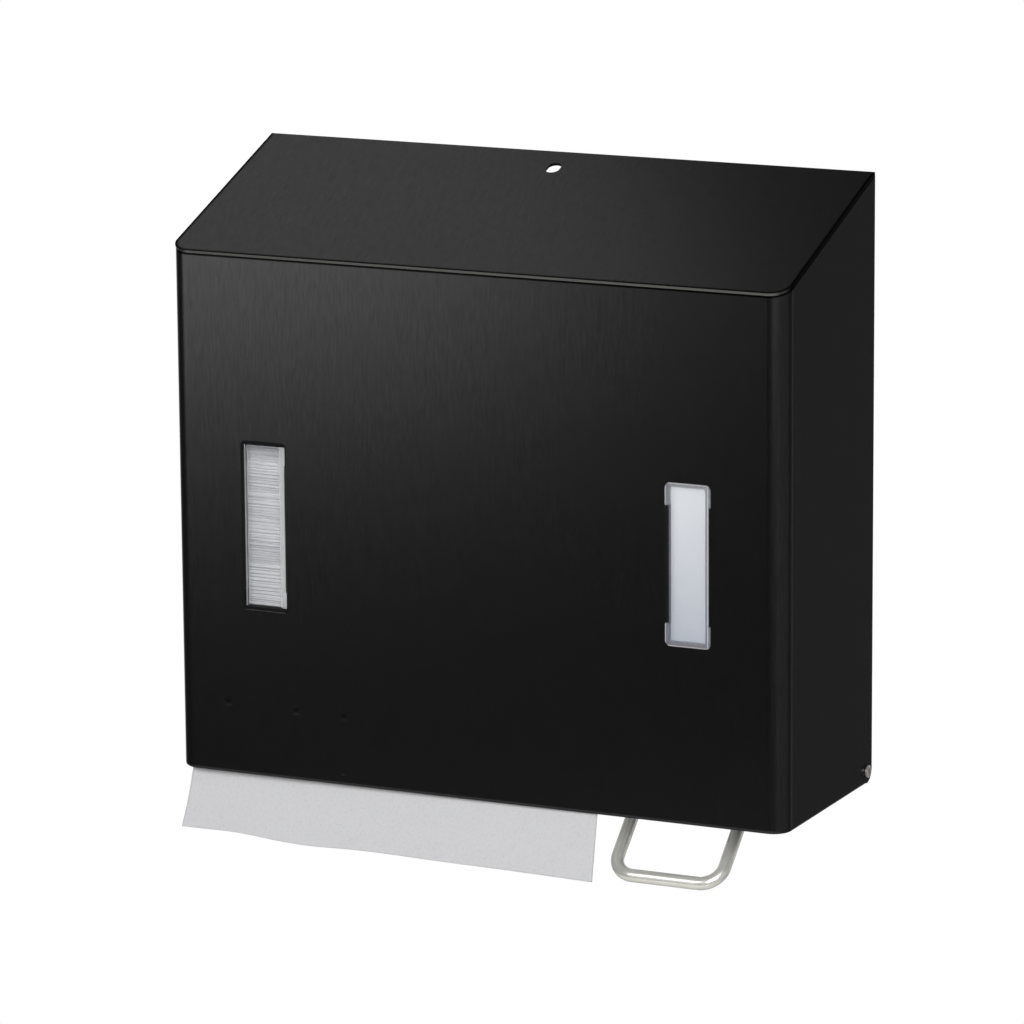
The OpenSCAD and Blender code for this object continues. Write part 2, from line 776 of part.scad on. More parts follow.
// Bent bracket at the top of the back plate, with ears for the latch pin and a seat for its spring
module latch_bracket() {
    color(zinc) place() difference() {
        union() {
            block([-latch_ear_x - bracket_t, -plate_t - bracket_t, latch_floor_z],
                  [latch_ear_x + bracket_t, -plate_t, plate_top]);
            block([-latch_ear_x - bracket_t, -latch_floor_y, latch_floor_z],
                  [latch_ear_x + bracket_t, -plate_t, latch_floor_z + bracket_t]);
            both_sides() along_x(latch_ear_x, latch_ear_x + bracket_t) polygon([
                [-plate_t, latch_floor_z], [-latch_floor_y, latch_floor_z],
                [-latch_floor_y, latch_floor_z + latch_lip], [-latch_y - latch_nose, latch_z + latch_lip],
                [-plate_t, latch_z + latch_lip]
            ]);
        }
        rod_x(-half_w, half_w, -latch_y, latch_z, latch_pin_d / 2 + fix_gap);
        rivet_holes();
    }
}

// Pin through the latch bracket's ears
module latch_pin() {
    x = latch_ear_x + bracket_t;
    color(bare_steel) place() {
        rod_x(-x - 1.5, x, -latch_y, latch_z, latch_pin_d / 2);
        rod_x(x, x + 1.2, -latch_y, latch_z, latch_pin_d / 2 + 1);
    }
}

// Sprung pawl: two teeth in front of the striker tabs, and a pad under the key slot
module latch_pawl() {
    half = pawl_w / 2;
    pad_y = key_y - (under(key_y) - pawl_z - pawl_t) * tan(slope);
    top = tab_z + tooth_hold;
    color(zinc) place() difference() {
        union() {
            rod_x(-half, half, -latch_y, latch_z, pawl_r);
            block([-half, -pawl_y1 - tooth_t, pawl_z], [half, -latch_y, pawl_z + pawl_t]);
            block([-half, -latch_y - pawl_r, latch_z], [half, -latch_y, pawl_z + pawl_t]);
            both_sides() along_x(tab_gap / 2, tab_gap / 2 + tab_w) polygon([
                [-pawl_y1, pawl_z], [-pawl_y1, top], [-pawl_y1 - tooth_t, pawl_z + pawl_t],
                [-pawl_y1 - tooth_t, pawl_z]
            ]);
            translate([0, -pad_y, pawl_z + pawl_t - 0.5]) cylinder(h = 2.5, r = 4);
        }
        rod_x(-half - past, half + past, -latch_y, latch_z, latch_pin_d / 2 + run_gap);
    }
}

// Points round a coil's wire: rings of 6 points, 8 rings to a turn
function coil_ring(k, turns, r, wire, length) =
    let (
        n = 8 * turns,
        a = 360 * k / 8,
        z = wire / 2 + (length - wire) * k / n
    )
    [for (j = [0 : 5]) let (b = 60 * j, d = r + wire / 2 * cos(b))
        [d * cos(a), d * sin(a), z + wire / 2 * sin(b)]];

// Least distance between the wires of neighbouring turns, over all pairs of ring points
function coil_gap(turns, r, wire, length) =
    let (
        n = 8 * turns,
        rings = [for (k = [0 : n]) coil_ring(k, turns, r, wire, length)]
    )
    min([for (k = [0 : n - 7], m = [k + 7 : min(k + 9, n)], p = rings[k], q = rings[m]) norm(p - q)]);

// One unbroken wire wound into a coil along Z
module coil(turns, r, wire, length) {
    n = 8 * turns;
    points = [for (k = [0 : n]) each coil_ring(k, turns, r, wire, length)];
    sides = [for (k = [0 : n - 1], j = [0 : 5]) let (a = 6 * k + j, b = 6 * k + (j + 1) % 6) each [
        [a, b, a + 6], [b, b + 6, a + 6]
    ]];
    ends = [for (j = [1 : 4]) each [[0, j + 1, j], [6 * n, 6 * n + j, 6 * n + j + 1]]];
    echo(least_gap = coil_gap(turns, r, wire, length));
    polyhedron(points, concat(sides, ends));
}

// Coil that lifts the latch pawl
module latch_spring() {
    z = latch_floor_z + bracket_t;
    color(bare_steel) place() translate([0, -latch_seat_y, z + 0.1])
        coil(5, latch_coil_r, latch_wire, pawl_z - z - 0.2);
}

// Domed rivets that hold the brackets on the back plate
module bracket_rivets() {
    seat = plate_t + bracket_t;
    head_h = 1.4;
    color(bare_steel) place() for (p = rivets) {
        rod_y(0.1, seat, p[0], p[1], rivet_d / 2);
        translate([p[0], -seat, p[1]]) rotate([90, 0, 0]) rotate_extrude() intersection() {
            translate([0, head_h - rivet_d]) circle(rivet_d);
            square([rivet_d, head_h]);
        }
    }
}

// Shelf that carries the tank, with its flange on the back plate and two cheeks for the lever axle
module pump_bracket() {
    flange_h = 20;
    color(zinc) place() difference() {
        union() {
            block([shelf_x0, -shelf_y1, shelf_z], [shelf_x1, -plate_t, shelf_top]);
            block([shelf_x0, -plate_t - bracket_t, shelf_z], [shelf_x1, -plate_t, shelf_top + flange_h]);
            block([shelf_x1 - shelf_t, -shelf_y1, shelf_z - 10], [shelf_x1, -plate_t, shelf_top]);
            for (x = cheek_x) along_x(x - cheek_t / 2, x + cheek_t / 2) {
                translate([-axle_y - cheek_half, axle_z]) square([2 * cheek_half, shelf_z - axle_z + 0.5]);
                intersection() {
                    translate([-axle_y, axle_z]) circle(cheek_half);
                    translate([-axle_y - cheek_half, axle_z - 8]) square([2 * cheek_half, 8 + past]);
                }
            }
        }
        rod_x(0, half_w, -axle_y, axle_z, bush_r + fix_gap);
        translate([pump_x, -inlet_y, shelf_z - past]) cylinder(h = shelf_t + 2 * past, r = inlet_r + 0.2);
        for (s = [-1, 1]) translate([pump_x + s * screw_dx, -screw_y, shelf_z - past])
            cylinder(h = shelf_t + 2 * past, d = screw_d + 2 * fix_gap);
        rivet_holes();
    }
}

// Plan of the tank, drawn in by an inset
module tank_plan(inset) translate([tank_x, tank_mid_y])
    rounded_rect(tank_w - 2 * inset, tank_d - 2 * inset, tank_r - inset);

// Filled soap tank: a foot rim, a body with rounded shoulders, and a filler neck
module soap_tank() {
    shoulder = 12;
    z0 = shelf_top + tank_foot;
    z1 = shelf_top + tank_h;
    color(white_plastic) place() difference() {
        union() {
            translate([0, 0, shelf_top]) linear_extrude(tank_foot) difference() {
                tank_plan(2);
                tank_plan(6);
            }
            translate([0, 0, z0]) linear_extrude(tank_h - tank_foot - shoulder) tank_plan(0);
            hull() for (k = [0 : 3])
                translate([0, 0, z1 - shoulder + shoulder * sin(30 * k) - 0.2 * (k == 0 ? 0 : 1)])
                    linear_extrude(0.2) tank_plan(shoulder * (1 - cos(30 * k)));
            translate([tank_x, tank_mid_y, z1 - past]) cylinder(h = neck_h + past, d = neck_d);
        }
        translate([pump_x, -inlet_y, shelf_top - past]) cylinder(h = neck_h + 4, r = inlet_r + 0.3);
    }
}

// Screw cap with grip ribs on the filler neck
module tank_cap() {
    ribs = 24;
    wall = 2.6;
    r = neck_d / 2 + wall;
    rib_r = 0.9;
    slack = 0.2;
    color(grey_plastic) place() translate([tank_x, tank_mid_y, shelf_top + tank_h + slack]) difference() {
        union() {
            cylinder(h = neck_h + wall, r = r);
            for (k = [0 : ribs - 1]) rotate([0, 0, 360 * k / ribs]) translate([r, 0, 0])
                cylinder(h = neck_h, r = rib_r);
        }
        translate([0, 0, -past]) cylinder(h = neck_h + past, d = neck_d + 2 * slack);
    }
}

// Flat seal round the soap inlet, under the tank
module tank_seal() color(dark_rubber) place() translate([pump_x, -inlet_y, shelf_top])
    ring(inlet_r + 0.1, seal_r, 0, tank_foot);

// Pump body: spring chamber and bore along Y, a pad under the shelf, the soap inlet on top and the
// outlet block below, which leads back to the nozzle
module pump_body() {
    block_half = 9;
    block_z0 = stub_z + 10;
    wall = 2.5;
    duct_r = 2.5;
    duct_z = block_z0 + 5;
    color(white_plastic) place() difference() {
        union() {
            rod_y(body_y0, body_y1, pump_x, pump_z, pump_d / 2);
            translate([pump_x, 0, 0]) {
                block([-pad_half, -body_y1, shelf_z - pad_t], [pad_half, -screw_y + 6, shelf_z]);
                block([-block_half, -body_y1, block_z0], [block_half, -nozzle_y + nozzle_r, pump_z]);
            }
            translate([pump_x, -nozzle_y, stub_z]) cylinder(h = block_z0 - stub_z + past, r = nozzle_r);
            translate([pump_x, -inlet_y, pump_z]) cylinder(h = shelf_top + neck_h - pump_z, r = inlet_r);
        }
        rod_y(body_y0 - past, body_y0 + chamber_l, pump_x, pump_z, chamber_d / 2);
        rod_y(body_y0, body_y1 - wall, pump_x, pump_z, bore_d / 2);
        translate([pump_x, -inlet_y, pump_z]) cylinder(h = shelf_top + neck_h + past - pump_z, r = duct_r);
        translate([pump_x, -inlet_y, shelf_z - 1]) cylinder(h = neck_h + 5, r = valve_r);
        translate([pump_x, -inlet_y, duct_z - duct_r]) cylinder(h = pump_z - duct_z, r = duct_r);
        rod_y(nozzle_y, inlet_y, pump_x, duct_z, duct_r);
        translate([pump_x, -nozzle_y, stub_z - past]) cylinder(h = duct_z + past - stub_z, r = duct_r);
        for (s = [-1, 1]) translate([pump_x + s * screw_dx, -screw_y, shelf_z - pad_t - past])
            cylinder(h = pad_t + 2 * past, d = screw_d + 2 * fix_gap);
    }
}

// Screws that hold the pump pad under the shelf
module pump_screws() color(bare_steel) place() for (s = [-1, 1])
    translate([pump_x + s * screw_dx, -screw_y, shelf_z - pad_t]) {
        cylinder(h = pad_t + shelf_t - 0.1, d = screw_d);
        translate([0, 0, -2]) difference() {
            cylinder(h = 2, d = 2 * screw_d);
            translate([0, 0, -past]) cylinder(h = 1.2 + past, d = hex_w, $fn = 6);
        }
    }

// Ball of the inlet valve, loose on its seat
module inlet_ball() color(bare_steel) place() translate([pump_x, -inlet_y, shelf_z + valve_r - 1.2])
    sphere(r = valve_r - 0.8);

// Soft outlet tip with a drip edge
module nozzle_tip() {
    drop = 14;
    hole_r = 1.2;
    color(dark_rubber) place() translate([pump_x, -nozzle_y, stub_z]) rotate_extrude() difference() {
        polygon([[0, -drop], [3.4, -drop], [4.2, -drop + 1.5], [nozzle_r, -3], [nozzle_r, 0], [0, 0]]);
        translate([-past, -drop - past]) square([hole_r + past, drop + 2 * past]);
    }
}

// Return spring round the piston rod
module pump_spring() {
    y0 = cap_y + cap_t;
    length = body_y0 + chamber_l - y0;
    color(bare_steel) place() translate([pump_x, -y0 - 0.1, pump_z]) rotate([90, 0, 0])
        coil(spring_turns, chamber_d / 2 - spring_wire / 2 - 0.8, spring_wire, length - 0.2);
}

// Flanged bushes in the cheeks of the pump bracket
module axle_bushes() color(grey_plastic) place() for (k = [0, 1]) {
    outer = cheek_x[k] + (2 * k - 1) * (cheek_t / 2 + bush_t / 2);
    difference() {
        union() {
            rod_x(cheek_x[k] - cheek_t / 2, cheek_x[k] + cheek_t / 2, -axle_y, axle_z, bush_r);
            rod_x(outer - bush_t / 2, outer + bush_t / 2, -axle_y, axle_z, bush_r + bush_lip);
        }
        rod_x(0, half_w, -axle_y, axle_z, axle_d / 2 + run_gap);
    }
}

// Push bail: one bent rod with an eye on each end, in the lever's own plane
module lever_bail() {
    half = bail_w / 2;
    color(bare_steel) place() difference() {
        translate([pump_x, -axle_y, axle_z]) rotate([-bail_lean, 0, 0]) {
            for (s = [-1, 1]) {
                translate([s * half, 0, -bail_l + bail_r]) cylinder(h = bail_l - bail_r, d = bail_d);
                translate([s * (half - bail_r), 0, -bail_l + bail_r]) rotate([90, 0, 0])
                    rotate([0, 0, s > 0 ? -90 : 180]) rotate_extrude(angle = 90)
                        translate([bail_r, 0]) circle(d = bail_d);
                rod_x(s * half - eye_w / 2, s * half + eye_w / 2, 0, 0, eye_r);
            }
            rod_x(-half + bail_r, half - bail_r, 0, -bail_l, bail_d / 2);
        }
        rod_x(0, half_w, -axle_y, axle_z, axle_d / 2 + fix_gap);
    }
}

// Lever axle
module lever_axle() {
    half = bail_w / 2 + eye_w / 2;
    color(zinc) place() rod_x(pump_x - half, pump_x + half, -axle_y, axle_z, axle_d / 2);
}

// Rocker on the axle: its nose pushes the piston forwards
module lever_rocker() {
    nose_y = cap_y - free_gap - nose_r;
    arm_t = 6;
    half = rocker_w / 2;
    arm_half = half - 2;
    color(grey_plastic) place() translate([pump_x, 0, 0]) difference() {
        union() {
            rod_x(-half, half, -axle_y, axle_z, rocker_r);
            block([-arm_half, -nose_y - arm_t / 2, axle_z], [arm_half, -nose_y + arm_t / 2, pump_z]);
            rod_x(-arm_half, arm_half, -nose_y, pump_z, nose_r);
        }
        rod_x(-half - past, half + past, -axle_y, axle_z, axle_d / 2 + fix_gap);
        translate([0, -axle_y, axle_z - rocker_r - past])
            cylinder(h = rocker_r + past, d = grub_d + 2 * fix_gap);
    }
}

// Grub screw that fixes the rocker on the axle
module rocker_screw() color(bare_steel) place()
    translate([pump_x, -axle_y, axle_z - rocker_r]) difference() {
        cylinder(h = rocker_r - axle_d / 2 - 0.05, d = grub_d);
        translate([0, 0, -past]) cylinder(h = 1.5 + past, d = hex_w, $fn = 6);
    }

// Retaining rings outside the bushes
module axle_clips() {
    x = cheek_gap / 2 + cheek_t / 2 + bush_t + free_gap;
    color(bare_steel) place() translate([pump_x, 0, 0]) for (s = [0, 1]) mirror([s, 0, 0]) difference() {
        rod_x(x, x + 1, -axle_y, axle_z, axle_d / 2 + 1.8);
        rod_x(x - past, x + 1 + past, -axle_y, axle_z, axle_d / 2 + fix_gap);
    }
}

// Piston: cap behind, rod through the spring, head with a seal groove in the bore
module pump_piston() {
    head_r = bore_d / 2 - run_gap;
    groove_r = head_r - 2.7;
    color(white_plastic) place() difference() {
        union() {
            rod_y(cap_y, cap_y + cap_t, pump_x, pump_z, chamber_d / 2);
            rod_y(cap_y, piston_head_y + piston_head_l, pump_x, pump_z, rod_d / 2);
            rod_y(piston_head_y, piston_head_y + piston_head_l, pump_x, pump_z, head_r);
        }
        difference() {
            rod_y(piston_head_y + 1.6, piston_head_y + 4.4, pump_x, pump_z, bore_d / 2 + past);
            rod_y(piston_head_y, piston_head_y + piston_head_l, pump_x, pump_z, groove_r);
        }
    }
}

// Rubber ring in the piston's groove
module piston_seal() {
    ring_r = 1.3;
    color(dark_rubber) place() translate([pump_x, -piston_head_y - piston_head_l / 2, pump_z])
        rotate([90, 0, 0]) rotate_extrude() translate([bore_d / 2 - run_gap - ring_r, 0]) circle(ring_r);
}

cover_wrap();
cover_top();
lock_striker();
towel_window();
soap_window();
label_card();
towel_guide();
back_plate();
hinge_pins();
hinge_washers();
hinge_nuts();
towel_tray();
partition();
towel_stack();
hanging_towel();
latch_bracket();
latch_pin();
latch_spring();
bracket_rivets();
pump_bracket();
soap_tank();
tank_cap();
tank_seal();
pump_body();
pump_screws();
inlet_ball();
nozzle_tip();
pump_spring();
axle_bushes();
lever_bail();
lever_axle();
lever_rocker();
rocker_screw();
axle_clips();
pump_piston();
piston_seal();
latch_pawl();
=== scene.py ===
"""Looks of a wall dispenser for folded paper towels and liquid soap.

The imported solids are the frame. This script gives every one of them its finish, and makes the pieces
whose form a plain solid can't show: the hanging towel, the folded towels and both springs. Lengths
are in metres, in the part's own frame: the wall is the plane y = 0, the front faces -Y and the middle
of the wall screws is the origin.
"""
import math

import bpy
import numpy as np
from mathutils import Euler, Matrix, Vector


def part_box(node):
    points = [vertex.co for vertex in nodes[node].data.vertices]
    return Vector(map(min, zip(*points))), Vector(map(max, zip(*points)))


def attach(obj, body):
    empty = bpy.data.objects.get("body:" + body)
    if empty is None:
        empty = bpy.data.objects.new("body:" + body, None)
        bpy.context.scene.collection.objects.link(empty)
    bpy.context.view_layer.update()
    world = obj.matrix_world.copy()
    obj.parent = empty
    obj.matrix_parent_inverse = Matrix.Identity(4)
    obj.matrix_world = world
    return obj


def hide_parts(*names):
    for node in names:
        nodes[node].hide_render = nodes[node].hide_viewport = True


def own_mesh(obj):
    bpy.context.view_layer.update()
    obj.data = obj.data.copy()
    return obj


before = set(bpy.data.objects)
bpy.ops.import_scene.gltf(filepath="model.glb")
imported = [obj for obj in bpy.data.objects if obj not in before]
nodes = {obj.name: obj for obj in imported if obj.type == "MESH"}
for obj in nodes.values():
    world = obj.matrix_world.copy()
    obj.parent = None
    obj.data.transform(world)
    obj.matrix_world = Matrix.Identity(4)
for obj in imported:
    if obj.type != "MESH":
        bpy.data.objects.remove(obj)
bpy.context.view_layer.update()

MM = 0.001
# Height of the housing's lower edge, from which the heights below are counted
FOOT = -190 * MM
# Half width, depth, heights in front and at the wall, bend radius and top plate of the housing, in mm
HALF_W, DEPTH, FRONT_H, BACK_H, BEND_R, TOP_T = 183, 125, 292, 340, 11, 1.5


# Small tools

def linear(code):
    """An sRGB hex colour as linear RGBA: below 0.04045 a straight line, above it a power of 2.4."""
    c = np.array([int(code[i:i + 2], 16) for i in (1, 3, 5)]) / 255
    c = np.where(c <= 0.04045, c / 12.92, ((c + 0.055) / 1.055) ** 2.4)
    return (*c.tolist(), 1.0)


def add(tree, kind, links=None, values=None, **settings):
    """Adds one node: settings are its properties, values its fixed sockets, links its fed sockets."""
    node = tree.nodes.new(kind)
    for key, value in settings.items():
        setattr(node, key, value)
    for key, value in (values or {}).items():
        node.inputs[key].default_value = value
    for key, source in (links or {}).items():
        tree.links.new(source, node.inputs[key])
    return node


def finish(name, colour, roughness, **sockets):
    """A new material with one Principled shader; other sockets are named with _ for a space."""
    mat = bpy.data.materials.new(name)
    mat.use_nodes = True
    shader = mat.node_tree.nodes["Principled BSDF"]
    shader.inputs["Base Color"].default_value = linear(colour)
    shader.inputs["Roughness"].default_value = roughness
    for key, value in sockets.items():
        shader.inputs[key.replace("_", " ")].default_value = value
    return mat, mat.node_tree, shader


def streaks(tree, size_mm, detail=3.0, seed=0.0):
    """Noise on Object coordinates whose grain measures size_mm along the three axes."""
    place = add(tree, "ShaderNodeTexCoord")
    lay = add(tree, "ShaderNodeMapping", {"Vector": place.outputs["Object"]},
              {"Location": (seed, seed * 0.7, seed * 1.3), "Scale": [1 / (s * MM) for s in size_mm]})
    noise = add(tree, "ShaderNodeTexNoise", {"Vector": lay.outputs["Vector"]},
                {"Scale": 1.0, "Detail": detail, "Roughness": 0.55})
    return noise.outputs["Fac"]


def along(tree, start, way):
    """Distance of the Object coordinates from a start, measured along a unit vector."""
    place = add(tree, "ShaderNodeTexCoord")
    off = add(tree, "ShaderNodeVectorMath", {0: place.outputs["Object"]}, {1: start}, operation="SUBTRACT")
    run = add(tree, "ShaderNodeVectorMath", {0: off.outputs["Vector"]}, {1: way}, operation="DOT_PRODUCT")
    return run.outputs["Value"]


def two_tone(tree, shader, fac, dark, light, low=0.3, high=0.7):
    """Base colour from dark to light as fac goes from low to high."""
    spread = add(tree, "ShaderNodeMapRange", {"Value": fac}, {"From Min": low, "From Max": high})
    tone = add(tree, "ShaderNodeMix", {"Factor": spread.outputs["Result"]},
               {6: linear(dark), 7: linear(light)}, data_type="RGBA")
    tree.links.new(tone.outputs[2], shader.inputs["Base Color"])


def paint(tree, shader, mask, colour):
    """Lays one colour over the base colour where the mask is 1."""
    below = shader.inputs["Base Color"].links[0].from_socket
    coat = add(tree, "ShaderNodeMix", {"Factor": mask, 6: below}, {7: linear(colour)}, data_type="RGBA")
    tree.links.new(coat.outputs[2], shader.inputs["Base Color"])


def worn(tree, shader, fac, low, high):
    """Roughness from low to high over the middle of fac's range."""
    spread = add(tree, "ShaderNodeMapRange", {"Value": fac},
                 {"From Min": 0.3, "From Max": 0.7, "To Min": low, "To Max": high})
    tree.links.new(spread.outputs["Result"], shader.inputs["Roughness"])


def relief(tree, shader, height, depth_mm, strength=0.5):
    """Bump of a height field whose unit is depth_mm."""
    bump = add(tree, "ShaderNodeBump", {"Height": height},
               {"Strength": strength, "Distance": depth_mm * MM})
    tree.links.new(bump.outputs["Normal"], shader.inputs["Normal"])


# Materials

# Stainless sheet with a black coat, brushed before coating: a dark metal whose sheen runs in faint
# streaks. The real scratches are 0.1 mm wide; they are drawn 0.5 mm wide so that they show.
BLACK_DARK, BLACK_LIGHT = "#3a3a3a", "#434343"
# Painted shade of a seam and a plate's edge, a lighter grey for a cut edge, the heat mark of a spot weld
PAINTED_SHADE, PALE_EDGE, BURN = "#101010", "#6d6c6b", "#2e2e2e"


def black_coated_stainless(name, grain_mm):
    mat, tree, shader = finish(name, BLACK_LIGHT, 0.26, Metallic=1.0)
    shader.inputs["Specular Tint"].default_value = (0.5, 0.5, 0.5, 1)
    wide = streaks(tree, grain_mm, 4.0, 0.4)
    two_tone(tree, shader, wide, BLACK_DARK, BLACK_LIGHT, 0.35, 0.65)
    worn(tree, shader, wide, 0.252, 0.268)
    return mat, tree, shader


# Slope of the top plate, its lower front edge, the way up along it and the way out of it
SLOPE = math.atan2(BACK_H - TOP_T - FRONT_H, DEPTH)
TOP_EDGE = (0, -DEPTH * MM, FRONT_H * MM + FOOT)
TOP_RISE = (0, math.cos(SLOPE), math.sin(SLOPE))
TOP_OUT = (0, -math.sin(SLOPE), math.cos(SLOPE))
# Weld marks in the front: x, height and radius in mm, and their depth in units of the sheet's relief
WELDS = ((-151, 41, 3.5), (-109, 40, 3.5), (-79.5, 39.5, 3.5), (-80, 5.4, 1.6))
WELD_DEPTH = 58.0


def black_wrap():
    """The upright sheet. Spot welds press shallow dishes into its front and darken their middles, and
    the last millimetre below the plane of the top plate is darkened as painted shade of the seam."""
    mat, tree, shader = black_coated_stainless("black_coated_stainless_upright", (0.5, 0.5, 9))
    # Painted shade of the seam: darkens the band just below the plane of the top plate
    seam = add(tree, "ShaderNodeMapRange", {"Value": along(tree, TOP_EDGE, TOP_OUT)},
               {"From Min": -1.3 * MM, "From Max": -0.9 * MM})
    paint(tree, shader, seam.outputs["Result"], PAINTED_SHADE)
    fine = streaks(tree, (0.3, 0.3, 20), 2.0, 1.9)
    height = add(tree, "ShaderNodeMath", {0: fine}, {1: 0.1}, operation="MULTIPLY").outputs["Value"]
    place = add(tree, "ShaderNodeTexCoord")
    for x, z, radius in WELDS:
        far = add(tree, "ShaderNodeVectorMath", {0: place.outputs["Object"]},
                  {1: (x * MM, -DEPTH * MM, z * MM + FOOT)}, operation="DISTANCE").outputs["Value"]
        dish = add(tree, "ShaderNodeMapRange", {"Value": far},
                   {"From Min": 0.0, "From Max": radius * MM, "To Min": -WELD_DEPTH, "To Max": 0.0},
                   interpolation_type="SMOOTHSTEP")
        height = add(tree, "ShaderNodeMath", {0: height, 1: dish.outputs["Result"]}).outputs["Value"]
        burn = add(tree, "ShaderNodeMapRange", {"Value": far},
                   {"From Min": 0.6 * radius * MM, "From Max": 0.3 * radius * MM})
        paint(tree, shader, burn.outputs["Result"], BURN)
    relief(tree, shader, height, 0.02, 0.15)
    return mat


def black_top():
    """The sloping plate. With q the distances past the straight sides' corners, the signed distance to
    its rounded outline is the length of q's positive part plus the larger of q where both are negative,
    less the corner radius. Where it nears 0, a dark line of painted shade runs along the edge. On the
    front cut edge, whose normal lies in the plate, the colour is a lighter grey."""
    mat, tree, shader = black_coated_stainless("black_coated_stainless_slope", (0.5, 7, 7))
    relief(tree, shader, streaks(tree, (0.3, 20, 20), 2.0, 1.9), 0.02, 0.015)
    corner = BEND_R * MM
    x = add(tree, "ShaderNodeMath", {0: along(tree, TOP_EDGE, (1, 0, 0))}, operation="ABSOLUTE")
    qx = add(tree, "ShaderNodeMath", {0: x.outputs["Value"]}, {1: HALF_W * MM - corner},
             operation="SUBTRACT").outputs["Value"]
    qv = add(tree, "ShaderNodeMath", {1: along(tree, TOP_EDGE, TOP_RISE)}, {0: corner},
             operation="SUBTRACT").outputs["Value"]
    q = add(tree, "ShaderNodeCombineXYZ", {"X": qx, "Y": qv})
    q = add(tree, "ShaderNodeVectorMath", {0: q.outputs["Vector"]}, operation="MAXIMUM")
    far = add(tree, "ShaderNodeVectorMath", {0: q.outputs["Vector"]}, operation="LENGTH").outputs["Value"]
    near = add(tree, "ShaderNodeMath", {0: qx, 1: qv}, operation="MAXIMUM").outputs["Value"]
    near = add(tree, "ShaderNodeMath", {0: near}, {1: 0.0}, operation="MINIMUM").outputs["Value"]
    d = add(tree, "ShaderNodeMath", {0: far, 1: near}).outputs["Value"]
    # Painted shade: a dark line along the plate's outline, within 2.4 mm of its edge
    rim = add(tree, "ShaderNodeMapRange", {"Value": d},
              {"From Min": corner - 2.4 * MM, "From Max": corner - 0.9 * MM})
    paint(tree, shader, rim.outputs["Result"], PAINTED_SHADE)
    # A lighter grey on the front cut edge, where the normal lies in the plate and faces forward
    place = add(tree, "ShaderNodeTexCoord")
    flat = add(tree, "ShaderNodeVectorMath", {0: place.outputs["Normal"]}, {1: TOP_OUT},
               operation="DOT_PRODUCT").outputs["Value"]
    flat = add(tree, "ShaderNodeMath", {0: flat}, operation="ABSOLUTE").outputs["Value"]
    cut = add(tree, "ShaderNodeMath", {0: flat}, {1: 0.6}, operation="LESS_THAN").outputs["Value"]
    ahead = add(tree, "ShaderNodeSeparateXYZ", {"Vector": place.outputs["Normal"]}).outputs["Y"]
    ahead = add(tree, "ShaderNodeMapRange", {"Value": ahead},
                {"From Min": -0.2, "From Max": -0.8}).outputs["Result"]
    cut = add(tree, "ShaderNodeMath", {0: cut, 1: ahead}, operation="MULTIPLY").outputs["Value"]
    paint(tree, shader, cut, PALE_EDGE)
    return mat


black_upright = black_wrap()
black_slope = black_top()


# Bare stainless, turned or stamped: bright, slightly warm, with fine turning lines
def bare_stainless():
    mat, tree, shader = finish("bare_stainless", "#dad7d1", 0.28, Metallic=0.9)
    fine = streaks(tree, (0.4, 2.5, 2.5), 3.0, 2.2)
    two_tone(tree, shader, fine, "#cfccc6", "#e4e1db")
    worn(tree, shader, fine, 0.2, 0.36)
    relief(tree, shader, fine, 0.01, 0.3)
    return mat


# Satin stainless rod, drawn and polished: pale and slightly warm, with long soft highlights
def satin_rod():
    mat, tree, shader = finish("satin_stainless_rod", "#f2f1ea", 0.25, Metallic=0.55)
    cloud = streaks(tree, (6, 6, 6), 3.0, 0.8)
    two_tone(tree, shader, cloud, "#eeede5", "#f6f5ef")
    worn(tree, shader, cloud, 0.23, 0.27)
    return mat


# Zinc plated mild steel: grey with a cool tint, cloudy patches of a centimetre and rolling lines
def zinc_plate():
    mat, tree, shader = finish("zinc_plated_steel", "#aeb3b8", 0.38, Metallic=1.0)
    cloud = streaks(tree, (14, 14, 22), 5.0, 3.1)
    two_tone(tree, shader, cloud, "#a5abb0", "#b7bcc1")
    worn(tree, shader, cloud, 0.38, 0.46)
    relief(tree, shader, streaks(tree, (0.7, 0.7, 9), 2.0, 5.0), 0.02, 0.25)
    return mat


# Drawn spring wire: darker steel, lightly oiled, with drawing lines
def spring_wire():
    mat, tree, shader = finish("drawn_spring_wire", "#8b8a88", 0.3, Metallic=1.0)
    lines = streaks(tree, (0.5, 0.5, 0.5), 3.0, 4.0)
    two_tone(tree, shader, lines, "#787674", "#9c9a97")
    worn(tree, shader, lines, 0.24, 0.4)
    return mat


# Moulded clear acrylic: a clear pane with a glossy face. Its thicker rim is painted over: dark bands for
# the black walls of the recess round the towels and their painted shade, pale strips and lines of painted
# highlight on the pane's edges, and at the soap a grey rim with the card's light behind it painted in.
CLEAR, DARK_WALL_AND_SHADE, GREY_RIM_AND_CARD_LIGHT, EDGE_HIGHLIGHT = "#e9ecef", "#151516", "#8f8e94", "#d2d1d6"


